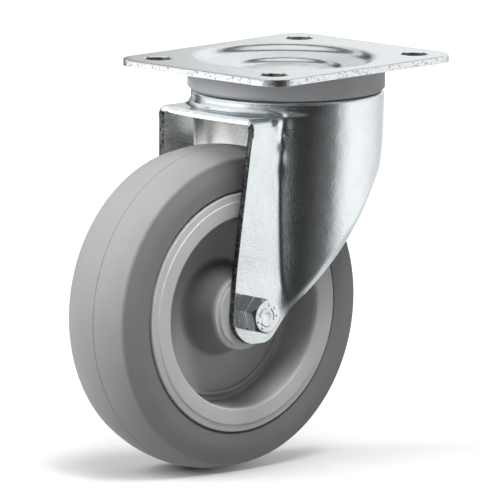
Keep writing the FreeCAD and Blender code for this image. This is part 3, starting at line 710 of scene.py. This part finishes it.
# %% Wheel centre
centre_side = [(11.25, 0), (11.25, 18.65), (14.5, 18.65), (17.2, 3.0), (32.5, 3.0), (32.7, 4.2),
               (34.1, 4.2), (34.5, 3.0), (36.4, 3.0), (37.4, 18.9), (43.4, 18.9), (43.55, 18.4),
               (46.3, 18.25), (46.3, 16.1), (44.6, 16.1), (44.6, 0)]
centre_rounds = {1: 0.3, 2: 0.5, 3: 3.2, 4: 0.5, 5: 0.45, 6: 0.45, 7: 0.5, 8: 1.2, 9: 0.7, 10: 0.18,
                 11: 0.18, 12: 0.55}
half_line = rounded_line(centre_side, centre_rounds, steps=7)
centre_section = np.concatenate([half_line, (half_line * (1, -1))[::-1]])
centre_shell = skin("wheel_centre_shell", [(turned(centre_section, ROUND_STEPS), 0)], "wheel")
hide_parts("wheel_centre")
dress(centre_shell, wheel_plastic)

# %% [markdown]
# The top plate is a blank from the shears, pressed once for the dish. Its rows of points start at the
# dish's middle, follow the dish's section as circles, and then change from a circle to the plate's
# outline with its round corners. The four bolt holes are cut afterwards with one Boolean, because a
# grid that flows round four holes would only complicate a flat surface.

# %% Top plate
PLATE_SHEET, PLATE_HALF, PLATE_CORNER = 2.75, (52.5, 42.5), 10.0
HOLES, HOLE_RADIUS = [(x, y) for x in (-40, 40) for y in (-30, 30)], 5.25
TOP_ROUND, BURR_ROUND, QUARTER_POINTS = 0.35, 0.25, 19


def plate_outline(inset):
    """The plate's outline, moved in by inset: straight sides and quarter circles."""
    quarter = np.linspace(0, math.pi / 2, QUARTER_POINTS)
    turns = np.concatenate([quarter + i * math.pi / 2 for i in range(4)])
    signs = np.repeat([(1, 1), (-1, 1), (-1, -1), (1, -1)], QUARTER_POINTS, 0)
    middle = signs * (np.array(PLATE_HALF) - PLATE_CORNER)
    corners = middle + (PLATE_CORNER - inset) * np.stack([np.cos(turns), np.sin(turns)], -1)
    corners = np.concatenate([corners, corners[:1]])
    steps = np.linalg.norm(np.diff(corners, axis=0), axis=1)
    pieces = [np.linspace(a, b, 33)[:-1] if step > 5 else a[None]
              for a, b, step in zip(corners[:-1], corners[1:], steps)]
    return np.concatenate(pieces + [corners[:1]])


dish_line = rounded_line([(0, -5.2), (18.5, -5.2), (21.5, -3.8), (30.5, -2.1), (34.5, 0), (38.0, 0)],
                         {1: 7.0, 2: 6.0, 3: 9.0, 4: 9.0}, steps=12)
dish_floor = np.linspace(dish_line[0], dish_line[1], 6)
dish_line = np.concatenate([dish_floor[:-1], dish_line[1:]])


def plate_rows(drop):
    """Circles of the dish, then rows that change from the last circle to the plate's outline."""
    rim = plate_outline(TOP_ROUND)
    angle = np.arctan2(rim[:, 1], rim[:, 0])
    circles = [np.stack([r * np.cos(angle), r * np.sin(angle), 0 * angle + z - drop], -1)
               for r, z in dish_line]
    flat = np.concatenate([rim, np.zeros((len(rim), 1)) - drop], 1)
    share = np.linspace(0, 1, 9)[1:, None, None]
    return np.concatenate([np.array(circles), circles[-1] * (1 - share) + flat * share])


def plate_edge():
    """The sheared edge, from top to bottom: a drawn-in top corner, a straight face, a small burr."""
    turn = np.linspace(0, math.pi / 2, 5)
    insets = np.concatenate([TOP_ROUND * (1 - np.sin(turn)), np.zeros(5),
                             BURR_ROUND * (1 - np.cos(turn)), [TOP_ROUND]])
    levels = np.concatenate([-TOP_ROUND * (1 - np.cos(turn)), -np.linspace(0.7, 2.2, 5),
                             -PLATE_SHEET + BURR_ROUND * (1 - np.sin(turn)), [-PLATE_SHEET]])
    rows = []
    for inset, level in zip(insets, levels):
        outline = plate_outline(inset)
        rows.append(np.concatenate([outline, np.full((len(outline), 1), level)], 1))
    return np.array(rows)


edge_rows = plate_edge()
# The top corner and the burr are plated, and the rows of the straight face between them are torn.
edge_numbers = np.array([0] * 4 + [1] * 6 + [0] * (len(edge_rows) - 11))
plate_shell = skin("plate_shell", [(plate_rows(0), 0), (edge_rows, edge_numbers),
                                   (plate_rows(PLATE_SHEET), 0)], "plate")


def drill(piece, places, radius, low, high, flare=0.3):
    """Cuts round holes with slightly open mouths: each cutter is one turned section. The walls of
    the holes get material number 2."""
    section = np.array([(0, high + 1), (radius + flare + 1, high + 1), (radius, high - flare),
                        (radius, low + flare), (radius + flare + 1, low - 1), (0, low - 1)])
    angle = np.linspace(0, 2 * math.pi, 65)
    grids = []
    for x, y in places:
        grid = np.stack([x + section[:, :1] * np.cos(angle), y + section[:, :1] * np.sin(angle),
                         section[:, 1:] + 0 * angle], -1)
        grids.append((grid, 0))
    cutter = skin("drill", grids, "plate")
    cut = piece.modifiers.new("holes", "BOOLEAN")
    cut.operation, cut.solver, cut.object = "DIFFERENCE", "EXACT", cutter
    made = bpy.data.meshes.new_from_object(piece.evaluated_get(bpy.context.evaluated_depsgraph_get()))
    piece.modifiers.clear()
    piece.data = made
    bpy.data.objects.remove(cutter)
    made.shade_smooth()
    made.set_sharp_from_angle(angle=SHARP)
    centres = np.zeros(len(made.polygons) * 3)
    made.polygons.foreach_get("center", centres)
    numbers = np.zeros(len(made.polygons), np.int32)
    made.polygons.foreach_get("material_index", numbers)
    away = centres.reshape(-1, 1, 3)[..., :2] - np.array(places) * MM
    numbers[(np.linalg.norm(away, axis=2) < (radius + 0.01) * MM).any(1)] = 2
    made.polygons.foreach_set("material_index", numbers)
    print("%s: %d faces with its holes" % (piece.name, len(made.polygons)))


drill(plate_shell, HOLES, HOLE_RADIUS, -PLATE_SHEET, 0)
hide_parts("top_plate")
dress(plate_shell, plate_zinc, plate_cut, hole_cut)

# %% [markdown]
# The axle bolt faces the viewer. A hexagon's outline lies as far from its axis as a flat does, over the
# cosine of the angle from that flat's middle. The lathe then takes a cone off the corners, which leaves
# the curved edges that every bolt head has. The marks a forge strikes on a head are only suggested
# here: a broken ring and a few strokes.


# %% Bolt head and nut
FLATS, HEX_TURN, HEX_REACH = 13.0, math.radians(44.5), 1.148
MARK_HEIGHT, BACK_ROUND_DEPTH, BACK_FACE = 0.16, 0.4, 0.93
CONE = math.radians(30)
HEAD_FACE, NUT_FACE, BOLT_RADIUS, BOLT_STEPS = 6.0, 6.2, 4.0, 48

# Where each starts and ends on the axle, from the near side.
HEAD, NUT, SHANK = (-31.9, -26.6), (-26.55, -22.6), (-27.0, 34.0)


def hexagon(angle):
    """Distance of the hexagon's outline from its axis, cut off a little at the corners."""
    aside = np.mod(angle - HEX_TURN, math.pi / 3) - math.pi / 6
    return np.minimum(FLATS / 2 / np.cos(aside), FLATS / 2 * HEX_REACH)


def head_marks(radius, angle):
    """Height of the struck marks: a broken ring and strokes between it and the rim."""
    ring = np.exp(-((radius - 3.5) / 0.32) ** 2) * (np.sin(3 * angle + 0.7) > -0.55)
    strokes = (np.exp(-((radius - 4.75) / 0.5) ** 4) * (np.cos(9 * angle) > 0.72)
               * (np.sin(2 * angle + 0.4) > -0.2))
    hollow = -0.6 * np.exp(-(radius / 1.5) ** 4)
    return MARK_HEIGHT * (0.8 * ring + strokes + hollow)


def hex_piece(start, finish, face_radius, marks=False):
    """Rows of a hexagonal piece from its outer face to its inner one, along the axle."""
    angle = np.linspace(0, 2 * math.pi, ROUND_STEPS + 1)
    far = hexagon(angle)
    long = finish - start
    share = np.linspace(0, 1, 30)[:, None]
    radius, depth = share * face_radius + 0 * angle, 0 * share * angle
    if marks:
        depth = depth - head_marks(radius, angle + 0 * radius)
    cone = np.linspace(0, 1, 6)[1:, None]
    chamfer = face_radius + (far - face_radius) * cone
    chamfer_depth = (chamfer - face_radius) * math.tan(CONE)
    side = np.linspace(0, 1, 5)[1:, None]
    side_depth = chamfer_depth[-1] + (long - BACK_ROUND_DEPTH - chamfer_depth[-1]) * side
    back = np.array([BACK_FACE, 0.0])[:, None]
    radii = np.concatenate([radius, chamfer, far + 0 * side, far * back])
    depths = np.concatenate([depth, chamfer_depth, side_depth, long + 0 * back * far])
    grid = np.stack([radii * np.cos(angle), start + depths, radii * np.sin(angle)], -1)
    return on_axle(grid)


def shank(radius, start, finish):
    """The bolt's shank: plain, then rings as deep as a thread, then a chamfered end."""
    pitch, threaded, thread_depth = 1.25, 8.0, 0.28
    place = np.linspace(finish - threaded, finish - 0.6, 61)
    depth = thread_depth * (0.5 + 0.5 * np.cos(2 * math.pi * place / pitch))
    line = [(0, start), (radius, start), (radius, finish - threaded)]
    line += list(zip(radius - depth, place)) + [(radius - 0.65, finish), (0, finish)]
    return np.array(line)


bolt_shell = skin("axle_bolt_shell", [
    (hex_piece(*HEAD, HEAD_FACE, marks=True), 0),
    (turned(shank(BOLT_RADIUS, *SHANK), BOLT_STEPS), 0)], "fork_frame")
nut_shell = skin("bolt_thin_nut_shell", [(hex_piece(*NUT, NUT_FACE), 0)], "fork_frame")
for piece, node in ((bolt_shell, "axle_bolt"), (nut_shell, "bolt_thin_nut")):
    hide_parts(node)
    dress(piece, bolt_zinc)

# %% Floor
FLOOR_HALF, FLOOR_TONE, BOUNCING_TONE, MIRRORED_FLOOR = 6.0, 0.50, 0.3, 0.42
WHITE = grey(1)
floor_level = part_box("tyre")[0].z


def staged(name, points, faces):
    """A card of the studio, which isn't part of the castor."""
    mesh = bpy.data.meshes.new(name)
    mesh.from_pydata(points, [], faces)
    card = bpy.data.objects.new(name, mesh)
    scene.collection.objects.link(card)
    return card


signs = [(-1, -1), (1, -1), (1, 1), (-1, 1)]
corners = [(x * FLOOR_HALF, y * FLOOR_HALF, floor_level) for x, y in signs]
floor = staged("floor", corners, [(0, 1, 2, 3)])

# The floor glows a little for the camera, more with the distance from the wheel, in 2 m, so that its
# far part is white. Near the wheel the glow is nil, a painted shadow round it. Mirrors see one even
# level, and lit surfaces don't know the glow.
floor_paint = Recipe("floor_paint", roughness=0.9)
bounce = floor_paint.seen_by("Diffuse")
floor_paint.feed("Base Color", floor_paint.mix(bounce, grey(FLOOR_TONE), grey(BOUNCING_TONE)))
floor_paint.feed("Emission Color", WHITE)
# The centre of the painted shadow: a point set off from the one under the axle.
painted_shadow_centre = (axle[0] - 0.016, axle[1] + 0.017, floor_level)
inputs = {0: floor_paint.place(), 1: painted_shadow_centre}
far_away = floor_paint.node("ShaderNodeVectorMath", {"operation": "DISTANCE"}, inputs, "Value")
# No glow within 20 mm of that point, rising by 44 mm: this is the painted shadow.
glow_and_painted_shadow = floor_paint.ramp(far_away * 0.5, [(0.0, 0.0), (0.010, 0.0), (0.022, 0.28), (0.034, 0.36),
                                         (0.06, 0.42), (0.1, 0.46), (0.3, 0.58), (0.6, 0.82),
                                         (1.0, 0.90)])
mirrored = floor_paint.seen_by("Glossy") + floor_paint.seen_by("Transmission")
floor_paint.feed("Emission Strength", floor_paint.seen_by("Camera") * glow_and_painted_shadow + mirrored * MIRRORED_FLOOR)
dress(floor, floor_paint.material)

# %% Camera
VIEW_AZIMUTH, VIEW_ELEVATION, VIEW_ROLL, VIEW_DISTANCE = -47.49, 9.31, 0.54, 4.0
FOCAL_PIXELS, PICTURE_PIXELS = 10398.4, 500
aim = Vector((-17.72, 1.81, -73.78)) * MM


def direction(azimuth, elevation):
    """The unit vector from the castor outwards, in degrees. Azimuth 0 is the -Y side."""
    a, e = math.radians(azimuth), math.radians(elevation)
    return Vector((math.sin(a) * math.cos(e), -math.cos(a) * math.cos(e), math.sin(e)))


camera_data = bpy.data.cameras.new("camera")
camera_data.sensor_width = 36.0
camera_data.lens = FOCAL_PIXELS * camera_data.sensor_width / PICTURE_PIXELS
camera_data.clip_end = 50.0
camera = bpy.data.objects.new("camera", camera_data)
scene.collection.objects.link(camera)
back = direction(VIEW_AZIMUTH, VIEW_ELEVATION)
camera.location = aim + back * VIEW_DISTANCE
roll = Matrix.Rotation(math.radians(VIEW_ROLL), 4, "Z")
turn = (-back).to_track_quat("-Z", "Y").to_matrix().to_4x4() @ roll
camera.rotation_euler = turn.to_euler()
scene.camera = camera
scene.view_settings.view_transform = "Standard"

# %% Lamps
# Square soft boxes that look at the castor: azimuth, elevation, distance, size, power. Mirrors see
# the room and the cards, not the lamps.
lamps = {
    "key_lamp": (-118, 34, 1.2, 0.9, 22),
    "front_lamp": (-22, 66, 1.3, 0.5, 12),
    "top_lamp": (-30, 84, 1.2, 1.0, 5),
}
for name, (azimuth, elevation, distance, size, power) in lamps.items():
    soft_box = bpy.data.lights.new(name, "AREA")
    soft_box.size = size
    soft_box.energy = power
    lamp = bpy.data.objects.new(name, soft_box)
    scene.collection.objects.link(lamp)
    way = direction(azimuth, elevation)
    lamp.location = aim + way * distance
    lamp.rotation_euler = (-way).to_track_quat("-Z", "Y").to_euler()
    lamp.visible_glossy = False

# %% World
# The room's level by height. Surfaces get one soft level and the camera sees white. Mirrors see pale
# walls, a brighter band above them, a dark ceiling and a white panel overhead.
ROOM_LIGHT = 0.22
world = bpy.data.worlds.new("world")
scene.world = world
world.use_nodes = True
room = Nodes(world.node_tree)
way = room.node("ShaderNodeTexCoord", {}, {}, "Generated")
height = room.node("ShaderNodeSeparateXYZ", {}, {0: way}, "Z")
walls = room.ramp(height, [(0.0, 0.88), (0.19, 0.88), (0.27, 1.0), (0.54, 1.0), (0.60, 0.05),
                           (0.70, 0.05), (0.80, 0.95)])
mirror, eye = room.seen_by("Glossy"), room.seen_by("Camera")
backdrop = world.node_tree.nodes["Background"]
room.join(backdrop.inputs["Color"], WHITE)
room.join(backdrop.inputs["Strength"], walls * mirror + eye + (1 - mirror - eye) * ROOM_LIGHT)

# %% [markdown]
# Chrome and zinc show only what stands around them. A product photographer gives bright metal its
# shape with cards, which the mirror shows as dark bands between white ones. These cards are seen by
# reflections alone: the camera, the shadows and the light on the rubber don't know them.


# %% Tone cards
def tone_card(name, reaches, heights, tones):
    """A card bent round the castor, from one reach and height to another, in metres. Its tone
    changes along it: tones are (degrees to the right of the camera, level)."""
    ways, levels = np.array(tones).T
    way = np.linspace(ways[0], ways[-1], 181)
    angle = np.radians(VIEW_AZIMUTH + way)
    reach, height = np.array(reaches)[:, None], np.array(heights)[:, None]
    grid = np.stack([reach * np.sin(angle), -reach * np.cos(angle), height + 0 * angle], -1)
    grid += np.array([aim.x, aim.y, floor_level])
    rows, columns = grid.shape[:2]
    card = staged(name, grid.reshape(-1, 3), quads(rows, columns))
    level = np.tile(np.interp(way, ways, levels), rows)
    card.data.attributes.new("tone", "FLOAT", "POINT").data.foreach_set("value", level)
    paint = Recipe(name + "_paint", roughness=1.0, base_color=grey(0))
    paint.feed("Emission Color", WHITE)
    tone = paint.node("ShaderNodeAttribute", {"attribute_name": "tone"}, {}, "Fac")
    paint.feed("Emission Strength", tone)
    dress(card, paint.material)
    card.visible_camera = False
    card.visible_diffuse = False
    card.visible_shadow = False
    print("%s: %.0f to %.0f degrees right of the camera" % (name, ways[0], ways[-1]))


band_end = [(15, 0.03), (30, 0.03), (36, 0.05), (45, 0.09), (52, 0.12), (60, 0.17), (63, 0.23),
            (66, 0.56), (70, 0.70), (75, 0.88), (80, 0.95)]
tone_card("front_floor_card", (0.03, 0.7), (0.002, 0.002),
          [(-50, 0.85), (-30, 0.7), (-12, 0.5), (-4, 0.42), (0, 0.36), (4, 0.15),
           (10, 0.06)] + band_end)
tone_card("front_wall_card", (0.7, 0.7), (0.002, 0.30),
          [(-50, 0.85), (-45, 0.5), (-29, 0.42), (-25, 0.22), (-14, 0.18), (-9, 0.07), (0, 0.05),
           (8, 0.025)] + band_end)
tone_card("side_near_card", (0.03, 0.25), (0.004, 0.004),
          [(66, 0.30), (74, 0.5), (84, 0.7), (140, 0.6), (165, 0.8)])
tone_card("side_card", (0.25, 0.7, 0.7), (0.002, 0.002, 0.2),
          [(80, 1.08), (104, 1.04), (120, 0.94), (131, 0.8), (150, 0.66), (160, 0.8), (175, 0.9)])
tone_card("left_wall_card", (0.7, 0.7), (0.002, 0.30),
          [(-147, 0.6), (-141, 0.05), (-130, 0.05), (-121, 0.6)])
tone_card("back_card", (0.9, 0.9), (0.002, 0.6),
          [(174, 0.95), (179, 0.88), (182.5, 0.66), (184.5, 0.5), (186.5, 0.1), (190, 0.04),
           (195, 0.06), (199, 0.42), (206, 0.42), (214, 0.7)])
tone_card("upper_card", (0.8, 0.8, 0.35), (0.31, 0.85, 1.2),
          [(-40, 0.8), (-25, 0.3), (0, 0.17), (60, 0.15), (75, 0.6)])
